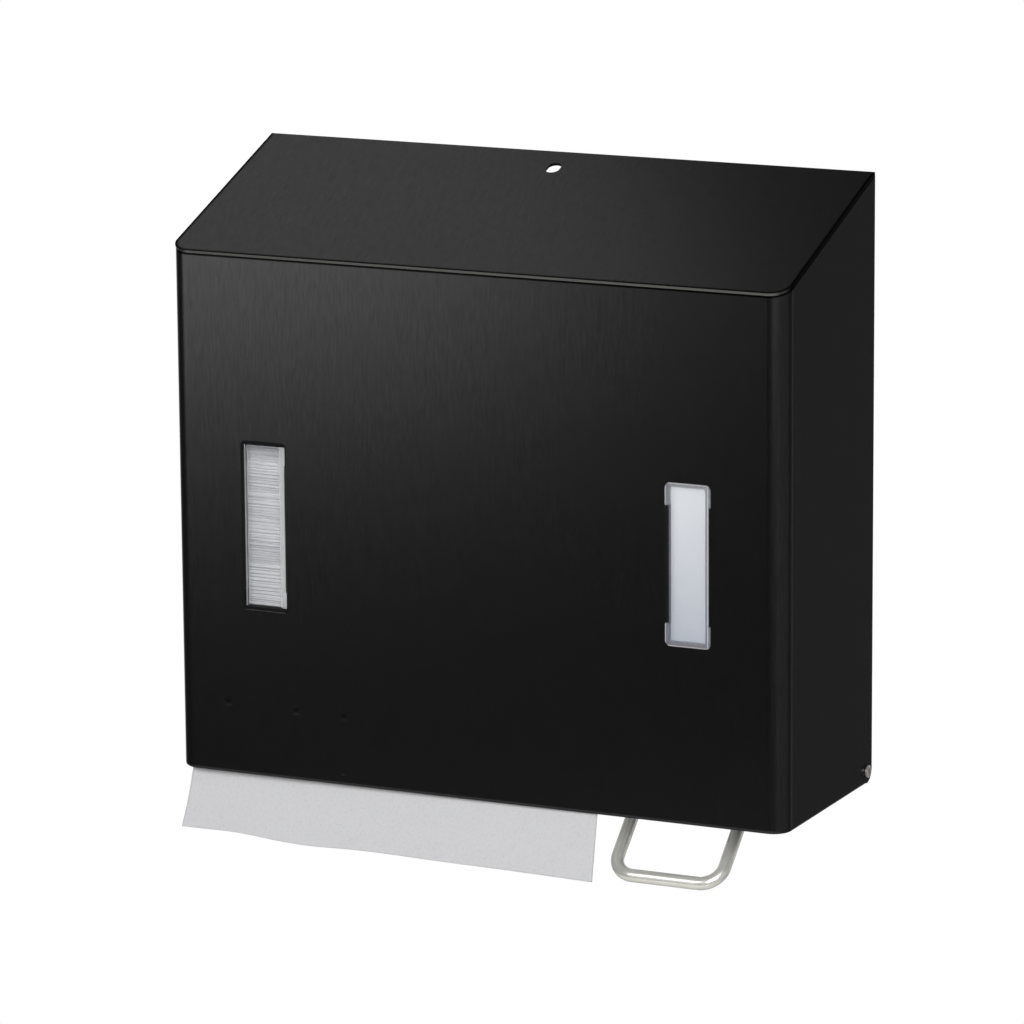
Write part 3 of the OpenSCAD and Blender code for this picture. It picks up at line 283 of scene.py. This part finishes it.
def clear_acrylic(name, middle, bands):
    """Bands of painted highlight and painted shade are laid over the clear pane in order: axis, from and
    to in mm from the window's middle, colour and how much it hides."""
    mat, tree, shader = finish(name, CLEAR, 0.08, IOR=1.49)
    place = add(tree, "ShaderNodeTexCoord")
    off = add(tree, "ShaderNodeVectorMath", {0: place.outputs["Object"]},
              {1: (middle[0] * MM, 0, middle[1] * MM + FOOT)}, operation="SUBTRACT")
    part = add(tree, "ShaderNodeSeparateXYZ", {"Vector": off.outputs["Vector"]})
    tone = add(tree, "ShaderNodeRGB").outputs[0]
    tone.default_value = linear(CLEAR)
    hide = add(tree, "ShaderNodeValue").outputs[0]
    hide.default_value = 0.03
    for axis, low, high, colour, cover in bands:
        mask = add(tree, "ShaderNodeMath", {0: part.outputs[axis]},
                   {1: (low + high) / 2 * MM, 2: (high - low) / 2 * MM}, operation="COMPARE")
        mask = mask.outputs["Value"]
        tone = add(tree, "ShaderNodeMix", {"Factor": mask, 6: tone}, {7: linear(colour)},
                   data_type="RGBA").outputs[2]
        hide = add(tree, "ShaderNodeMix", {"Factor": mask, 2: hide}, {3: cover}).outputs[0]
    tree.links.new(tone, shader.inputs["Base Color"])
    tree.links.new(hide, shader.inputs["Alpha"])
    relief(tree, shader, streaks(tree, (18, 18, 26), 2.0, 6.0), 0.05, 0.15)
    return mat


# Coated white card: a cool white, greyer towards its lower end, with the faint mottle of its coating
CARD_LOW, CARD_HIGH = 98 * MM + FOOT, 188 * MM + FOOT


def white_card():
    mat, tree, shader = finish("coated_white_card", "#d2d5da", 0.5)
    place = add(tree, "ShaderNodeTexCoord")
    up = add(tree, "ShaderNodeSeparateXYZ", {"Vector": place.outputs["Object"]}).outputs["Z"]
    cloud = streaks(tree, (22, 22, 30), 4.0, 7.0)
    part = add(tree, "ShaderNodeMapRange", {"Value": up}, {"From Min": CARD_LOW, "From Max": CARD_HIGH})
    part = add(tree, "ShaderNodeMath", {0: cloud, 2: part.outputs["Result"]}, {1: 0.25},
               operation="MULTIPLY_ADD")
    two_tone(tree, shader, part.outputs["Value"], "#b0b6c0", "#d3d6db", 0.1, 1.0)
    relief(tree, shader, streaks(tree, (0.3, 0.3, 0.3), 2.0, 7.5), 0.01, 0.2)
    return mat


# Creped tissue: matt off-white with fine cross ridges of 0.5 mm and darker flecks of recycled fibre
def creped_tissue(name, light, dark):
    mat, tree, shader = finish(name, light, 0.95, Specular_IOR_Level=0.15)
    shader.inputs["Sheen Weight"].default_value = 0.15
    fleck = streaks(tree, (1.1, 1.1, 1.1), 6.0, 8.0)
    two_tone(tree, shader, fleck, dark, light, 0.22, 0.5)
    crepe = streaks(tree, (1.6, 0.6, 0.6), 4.0, 9.0)
    relief(tree, shader, crepe, 0.12, 0.5)
    return mat


# Blown polyethylene: milky white, waxy, with soft orange-peel relief
def milky_polyethylene():
    mat, tree, shader = finish("blown_polyethylene", "#e4e5e6", 0.42, Subsurface_Weight=0.25)
    shader.inputs["Subsurface Radius"].default_value = (0.004, 0.004, 0.0035)
    cloud = streaks(tree, (30, 30, 45), 3.0, 10.0)
    two_tone(tree, shader, cloud, "#dadcde", "#eaebec")
    relief(tree, shader, streaks(tree, (2.2, 2.2, 2.2), 2.0, 11.0), 0.05, 0.2)
    return mat


# Moulded plastics: a fine moulded grain of under half a millimetre over one body colour
def moulded(name, dark, light, roughness, grain_mm, depth_mm):
    mat, tree, shader = finish(name, light, roughness)
    grain = streaks(tree, (grain_mm,) * 3, 3.0, 12.0)
    two_tone(tree, shader, streaks(tree, (16, 16, 16), 3.0, 13.0), dark, light)
    worn(tree, shader, grain, roughness - 0.05, roughness + 0.08)
    relief(tree, shader, grain, depth_mm, 0.35)
    return mat


bare = bare_stainless()
zinc = zinc_plate()
wire = spring_wire()
# The same paper in two tones: the hanging towel in full light is painted darker, and the folded towels,
# lit only through the window, are painted lighter
tissue = creped_tissue("creped_tissue", "#cacacc", "#bcbcbe")
folded_tissue_painted_light = creped_tissue("folded_tissue_painted_light", "#eeeff2", "#e3e4e8")
acetal = moulded("white_acetal", "#e0e0df", "#ececeb", 0.3, 0.5, 0.01)
nylon = moulded("natural_nylon", "#dfddd2", "#ebe9e0", 0.45, 0.5, 0.02)
grey_abs = moulded("grey_abs", "#808386", "#919497", 0.5, 0.45, 0.03)
black_rubber = moulded("black_rubber", "#242424", "#303030", 0.7, 0.6, 0.03)

WEARS = {
    black_upright: ("cover_wrap", "towel_guide"),
    black_slope: ("cover_top",),
    bare: ("lock_striker", "hinge_pins", "latch_pin", "bracket_rivets", "pump_screws", "inlet_ball",
           "rocker_screw"),
    zinc: ("back_plate", "hinge_nuts", "towel_tray", "partition", "latch_bracket", "pump_bracket",
           "lever_axle", "latch_pawl"),
    wire: ("axle_clips",),
    satin_rod(): ("lever_bail",),
    # Towel pane: painted highlights on its edges as a pale strip and a thin line, dark bands for the black
    # walls of the recess with their painted shade, and a thin dark line of painted shade below
    clear_acrylic("clear_acrylic_towels", (-126.8, 141.8), (
        ("X", 9.4, 13.4, "#c9ccce", 0.4), ("X", -11.5, -11.0, "#d5d7d9", 0.5),
        ("X", 13.4, 20, DARK_WALL_AND_SHADE, 0.96), ("X", -20, -11.5, DARK_WALL_AND_SHADE, 0.96),
        ("Z", 45.9, 60, DARK_WALL_AND_SHADE, 0.96), ("Z", -60, -44.7, DARK_WALL_AND_SHADE, 0.96),
        ("Z", -47.4, -47.0, "#4c4d4f", 0.7))): ("towel_window",),
    # Soap pane: a grey rim with the card's light behind it painted in, and thin painted highlights along
    # its outer edges
    clear_acrylic("clear_acrylic_soap", (126.8, 143), (
        ("X", 9.9, 20, GREY_RIM_AND_CARD_LIGHT, 0.5), ("X", -20, -10.8, GREY_RIM_AND_CARD_LIGHT, 0.5),
        ("Z", 42.4, 60, GREY_RIM_AND_CARD_LIGHT, 0.5), ("Z", -60, -42.1, GREY_RIM_AND_CARD_LIGHT, 0.5),
        ("X", 11.4, 12.0, EDGE_HIGHLIGHT, 0.6), ("X", -20, -12.6, EDGE_HIGHLIGHT, 0.6),
        ("Z", 44.0, 60, EDGE_HIGHLIGHT, 0.6), ("Z", -60, -44.1, EDGE_HIGHLIGHT, 0.6))): ("soap_window",),
    white_card(): ("label_card",),
    nylon: ("hinge_washers", "axle_bushes"),
    milky_polyethylene(): ("soap_tank",),
    acetal: ("pump_body", "pump_piston"),
    grey_abs: ("tank_cap", "lever_rocker"),
    black_rubber: ("tank_seal", "nozzle_tip", "piston_seal"),
}
for mat, names in WEARS.items():
    for name in names:
        nodes[name].data.materials.clear()
        nodes[name].data.materials.append(mat)


# Pieces

def piece(name, points, faces, mat, body):
    """A smooth mesh object at the origin from a point array and a list of faces, riding on a body."""
    mesh = bpy.data.meshes.new(name)
    mesh.from_pydata(points.tolist(), [], faces)
    mesh.polygons.foreach_set("use_smooth", np.full(len(mesh.polygons), True))
    mesh.materials.append(mat)
    mesh.update()
    obj = bpy.data.objects.new(name, mesh)
    bpy.context.scene.collection.objects.link(obj)
    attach(obj, body)
    return obj


def grid_faces(rows, cols, close_cols=False):
    """Quads between neighbouring points of a grid; a closed one joins its last column to its first."""
    r = np.arange(rows - 1)
    c = np.arange(cols if close_cols else cols - 1)
    r, c = (a.ravel() for a in np.meshgrid(r, c, indexing="ij"))
    r1, c1 = r + 1, (c + 1) % cols
    return np.stack([r * cols + c, r * cols + c1, r1 * cols + c1, r1 * cols + c], axis=1)


def smooth_line(points, count):
    """A smooth curve through the points: on each stretch the cubic whose slope at a point is half the
    step between that point's neighbours, read at equal steps of its length."""
    p = np.asarray(points, float)
    q = np.vstack([p[:1], p, p[-1:]])
    t = np.linspace(0, len(p) - 1, 40 * len(p))
    k = np.minimum(t.astype(int), len(p) - 2)
    f = (t - k)[:, None]
    a, b, c, d = (q[k + i] for i in range(4))
    line = 0.5 * (2 * b + (c - a) * f + (2 * a - 5 * b + 4 * c - d) * f ** 2
                  + (3 * b - a - 3 * c + d) * f ** 3)
    run = np.concatenate([[0], np.cumsum(np.linalg.norm(np.diff(line, axis=0), axis=1))])
    at = np.linspace(0, run[-1], count)
    return np.stack([np.interp(at, run, line[:, i]) for i in range(line.shape[1])], axis=1), run[-1]


# Hanging towel. The routes of its left and right edge down from the tray mouth, as distance from the
# wall and height, are the solid's.
LEAF_LEFT = ((80, 17.7), (84, 14.2), (95, 9.4), (105, 6.6), (112, 4.2), (116, 1.2),
             (118, -3.2), (120.9, -10.5), (124.6, -18.9), (128.3, -25.5), (132.1, -32.1))
LEAF_RIGHT = ((80, 17.7), (84, 14.4), (95, 10), (106, 7.6), (114.5, 5.6), (119.4, 3.2),
              (121.9, -1.4), (123.8, -10), (125.6, -19), (127.4, -28), (129.1, -36.7))
LEAF_X0, LEAF_W, LEAF_T = -178.0, 250.0, 0.4


def hanging_towel():
    """A sheet over (u, s): u runs across, s along routes that go from the left one to the right one.
    Towards the lower edge, as the fourth power of s, the left corner rolls by a damped sine of u, the
    edge rises and sinks by two bell curves of u, and a slight wave of three lengths crosses the towel."""
    rows, cols = 90, 220
    left, left_run = smooth_line(LEAF_LEFT, rows)
    right, right_run = smooth_line(LEAF_RIGHT, rows)
    s, u = np.meshgrid(np.linspace(0, 1, rows), np.linspace(0, 1, cols), indexing="ij")
    low = s ** 4
    roll = 1.5 * low * np.sin(2 * np.pi * (u / 0.42 - 0.1)) * np.exp(-((u - 0.2) / 0.16) ** 2)
    rise = low * (1.1 * np.exp(-((u - 0.14) / 0.08) ** 2) - 1.6 * np.exp(-((u - 0.3) / 0.1) ** 2))
    wave = 0.25 * s ** 2 * np.sin(2 * np.pi * (3 * u + 0.3 * s))
    line = left[:, None] * (1 - u[..., None]) + right[:, None] * u[..., None]
    points = np.stack([LEAF_X0 + u * LEAF_W, -line[..., 0] - roll - wave, line[..., 1] + rise], axis=-1)
    points = points.reshape(-1, 3) * MM + (0, 0, FOOT)
    leaf = piece("towel_leaf", points, grid_faces(rows, cols).tolist(), tissue, "chassis")
    thick = leaf.modifiers.new("ply", "SOLIDIFY")
    thick.thickness = LEAF_T * MM
    thick.offset = 0
    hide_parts("hanging_towel")
    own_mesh(leaf)


def towel_pile():
    """Folded towels as one outline in (y, z) carried along X. Front and back are rows of folds, |sin| of
    the height to a power of 0.5 to 1.8, each 0.6 to 1.4 plies thick and parted by notches of 1 to 4 mm.
    Every fold is set back at random by up to 1.2 mm, a slow sine of its number sets groups back by up to
    1.4 mm more, and it waves along X by two slow sines of its own phase. The ends are ladders between
    front and back."""
    rng = np.random.default_rng(7)
    lo, hi = (np.array(c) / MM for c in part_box("towel_stack"))
    ply, steps, cols = 1.7, 6, 52
    plies = int(round((hi[2] - lo[2]) / ply))
    k = np.arange(plies * steps + 1)
    fold = np.minimum(k // steps, plies - 1)
    swell = np.abs(np.sin(np.pi * k / steps)) ** rng.uniform(0.5, 1.8, plies)[fold]
    x = np.linspace(lo[0], hi[0], cols)
    edge = np.concatenate([[0], np.cumsum(rng.uniform(0.6, 1.4, plies))])
    z = lo[2] + (hi[2] - lo[2]) * np.interp(k / steps, np.arange(plies + 1), edge / edge[-1])
    sides = []
    for y, inward in ((lo[1], 1), (hi[1], -1)):
        back = (rng.uniform(0, 1.2, plies) + 0.7 * (1 + np.sin(np.arange(plies) * 0.55)))[fold]
        notch = rng.uniform(1.0, 4.0, plies)[fold]
        phase = rng.uniform(0, 2 * np.pi, (2, plies))[:, fold]
        drift = 0.3 * np.sin(x[:, None] / 31 + phase[0]) + 0.2 * np.sin(x[:, None] / 13 + phase[1])
        depth = np.clip(back + drift + 0.5, 0, None) + notch * (1 - swell)
        rise = z + 0.3 * np.sin(x[:, None] / 45 + phase[0] * 0.3) * np.sin(np.pi * k / k[-1])
        across = np.broadcast_to(x[:, None], depth.shape)
        sides.append(np.stack([across, y + inward * depth, rise], axis=-1))
    ring = np.concatenate([sides[0], sides[1][:, ::-1]], axis=1)
    n = ring.shape[1]
    faces = grid_faces(cols, n, close_cols=True)[:, ::-1]
    j = np.arange(len(k) - 1)
    ladder = np.stack([j, j + 1, n - 2 - j, n - 1 - j], axis=1)
    faces = np.concatenate([faces, ladder[:, ::-1], ladder + (cols - 1) * n])
    pile = piece("folded_towels", ring.reshape(-1, 3) * MM, faces.tolist(), folded_tissue_painted_light, "chassis")
    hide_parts("towel_stack")


# Points round a spring's wire, and the turns at each end that lie flatter, rising at this share
WIRE_RING, FLAT_TURNS, FLAT_PACE = 14, 0.75, 0.35


def coil(name, node, axis, turns, wire_mm):
    """A wire wound into a coil in its solid's box along Y or Z: a circle of radius r whose rise is slow
    at both ends, so that they lie flat. A ring of points is carried on the tangent's own frame."""
    lo, hi = (np.array(c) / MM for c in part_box(node))
    mid = (lo + hi) / 2
    length = (hi - lo)[axis]
    r = np.delete(hi - lo, axis).max() / 2 - wire_mm / 2
    t = np.linspace(0, turns, 36 * turns + 1)
    pace = np.where((t < FLAT_TURNS) | (t > turns - FLAT_TURNS), FLAT_PACE, 1.0)
    climb = np.concatenate([[0], np.cumsum((pace[1:] + pace[:-1]) / 2 * np.diff(t))])
    climb = climb / climb[-1] * (length - wire_mm) + wire_mm / 2
    path = np.stack([r * np.cos(2 * np.pi * t), r * np.sin(2 * np.pi * t), climb], axis=1)
    tangent = np.gradient(path, axis=0)
    tangent /= np.linalg.norm(tangent, axis=1)[:, None]
    out = np.stack([np.cos(2 * np.pi * t), np.sin(2 * np.pi * t), 0 * t], axis=1)
    side = np.cross(tangent, out)
    b = np.linspace(0, 2 * np.pi, WIRE_RING, endpoint=False)[None, :, None]
    rings = path[:, None] + wire_mm / 2 * (np.cos(b) * out[:, None] + np.sin(b) * side[:, None])
    faces = grid_faces(len(t), WIRE_RING, close_cols=True).tolist()
    last = (len(t) - 1) * WIRE_RING
    faces += [list(range(WIRE_RING))[::-1], [last + i for i in range(WIRE_RING)]]
    p = rings.reshape(-1, 3)
    p = np.stack([p[:, 0], -p[:, 2], p[:, 1]], axis=1) if axis == 1 else p
    base = mid.copy()
    base[axis] = hi[1] if axis == 1 else lo[2]
    obj = piece(name, (p + base) * MM, faces, wire, "chassis")
    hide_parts(node)
    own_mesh(obj)


hanging_towel()
towel_pile()
coil("pump_coil", "pump_spring", 1, 6, 1.4)
coil("latch_coil", "latch_spring", 2, 5, 0.8)


# Studio

def emitter(name, spot, target, size, radiance):
    """A soft box of the given width and height; its power is radiance times pi times its area."""
    lamp = bpy.data.lights.new(name, "AREA")
    lamp.shape = "RECTANGLE"
    lamp.size, lamp.size_y = size
    lamp.energy = radiance * math.pi * size[0] * size[1]
    obj = bpy.data.objects.new(name, lamp)
    obj.location = spot
    obj.rotation_euler = (Vector(target) - Vector(spot)).to_track_quat("-Z", "Y").to_euler()
    bpy.context.scene.collection.objects.link(obj)


def lamps():
    """Soft boxes: each serves the surface that mirrors it, and the front one lights the paper."""
    emitter("soft_box_left", (-0.86, -1.05, 0.24), (-0.05, -0.1, 0.05), (0.95, 0.9), 2.0)
    emitter("soft_box_above", (-0.75, 0.45, 0.95), (-0.05, -0.05, 0.1), (0.8, 0.6), 0.95)
    emitter("soft_box_front", (0.72, -1.55, 0.55), (0.0, -0.12, -0.08), (0.8, 0.8), 10.4)
    emitter("soft_box_high", (-0.56, -1.25, 0.66), (0.1, -0.1, -0.2), (0.7, 0.55), 2.4)
    emitter("card_right", (1.3, -0.5, -0.3), (0.18, -0.12, -0.05), (1.7, 0.8), 0.15)
    emitter("strip_behind", (1.0, 0.9, -0.2), (0.17, -0.11, -0.05), (0.12, 1.0), 1.3)


def backdrop():
    """White for the camera and through clear pieces, and behind the part for mirrors. Other rays see a
    grey room that dims towards the front left."""
    world = bpy.data.worlds.new("studio")
    bpy.context.scene.world = world
    world.use_nodes = True
    tree = world.node_tree
    tree.nodes.clear()
    way = add(tree, "ShaderNodeTexCoord").outputs["Generated"]
    facing = add(tree, "ShaderNodeVectorMath", {0: way}, {1: (-0.42, 0.89, -0.1)}, operation="DOT_PRODUCT")
    drop = add(tree, "ShaderNodeMapRange", {"Value": facing.outputs["Value"]},
               {"From Min": 0.64, "From Max": 0.92}, interpolation_type="SMOOTHSTEP")
    ray = add(tree, "ShaderNodeLightPath")
    seen = add(tree, "ShaderNodeMath", {0: drop.outputs["Result"], 1: ray.outputs["Is Glossy Ray"]},
               operation="MULTIPLY").outputs["Value"]
    seen = add(tree, "ShaderNodeMath", {0: seen, 1: ray.outputs["Is Transmission Ray"]}).outputs["Value"]
    seen = add(tree, "ShaderNodeMath", {0: seen, 1: ray.outputs["Is Camera Ray"]}, use_clamp=True)
    back = add(tree, "ShaderNodeVectorMath", {0: way}, {1: (0.45, 0.89, 0)}, operation="DOT_PRODUCT")
    dim = add(tree, "ShaderNodeMapRange", {"Value": back.outputs["Value"]},
              {"From Min": -0.95, "From Max": -0.3, "To Min": 0.035, "To Max": 0.165})
    white = add(tree, "ShaderNodeBackground", values={"Color": (1, 1, 1, 1), "Strength": 1.0})
    room = add(tree, "ShaderNodeBackground", {"Strength": dim.outputs["Result"]}, {"Color": (1, 1, 1, 1)})
    mix = add(tree, "ShaderNodeMixShader",
              {0: seen.outputs["Value"], 1: room.outputs[0], 2: white.outputs[0]})
    add(tree, "ShaderNodeOutputWorld", {"Surface": mix.outputs[0]})


# Middle and radius of the floor, and its rings and spokes
FLOOR_AT, FLOOR_R, FLOOR_RINGS, FLOOR_SPOKES = (-0.1, -0.33, -0.62), 0.85, 12, 72


def floor():
    """A pale disc below the hanging part: rings of points at equal steps of the radius."""
    r = np.linspace(0, 1, FLOOR_RINGS + 1)[1:, None] * FLOOR_R
    a = np.linspace(0, 2 * np.pi, FLOOR_SPOKES, endpoint=False)[None]
    disc = np.stack([r * np.cos(a), r * np.sin(a), 0 * r * a], axis=-1).reshape(-1, 3) + FLOOR_AT
    faces = grid_faces(FLOOR_RINGS, FLOOR_SPOKES, close_cols=True).tolist()
    mesh = bpy.data.meshes.new("floor")
    mesh.from_pydata(disc.tolist(), [], faces + [list(range(FLOOR_SPOKES))])
    mat, tree, shader = finish("pale_floor", "#e6e6e4", 0.8)
    two_tone(tree, shader, streaks(tree, (60, 60, 60), 3.0, 14.0), "#e2e2e0", "#e9e9e7")
    mesh.materials.append(mat)
    obj = bpy.data.objects.new("floor", mesh)
    bpy.context.scene.collection.objects.link(obj)


def camera():
    """The photograph's view, fitted to the housing's edges."""
    lens = bpy.data.cameras.new("camera")
    lens.sensor_width = 36
    lens.lens = 206.4
    lens.shift_x = -0.0012
    lens.shift_y = 0.0034
    lens.clip_end = 50
    cam = bpy.data.objects.new("camera", lens)
    cam.location = (1.3379, -2.9180, 0.6505)
    aim = (Vector((-0.0343, 0, -0.0587)) - cam.location).to_track_quat("-Z", "Y")
    cam.rotation_euler = (aim @ Euler((0, 0, math.radians(-0.43))).to_quaternion()).to_euler()
    bpy.context.scene.collection.objects.link(cam)
    bpy.context.scene.camera = cam


bpy.context.scene.view_settings.view_transform = "Standard"
lamps()
backdrop()
floor()
camera()
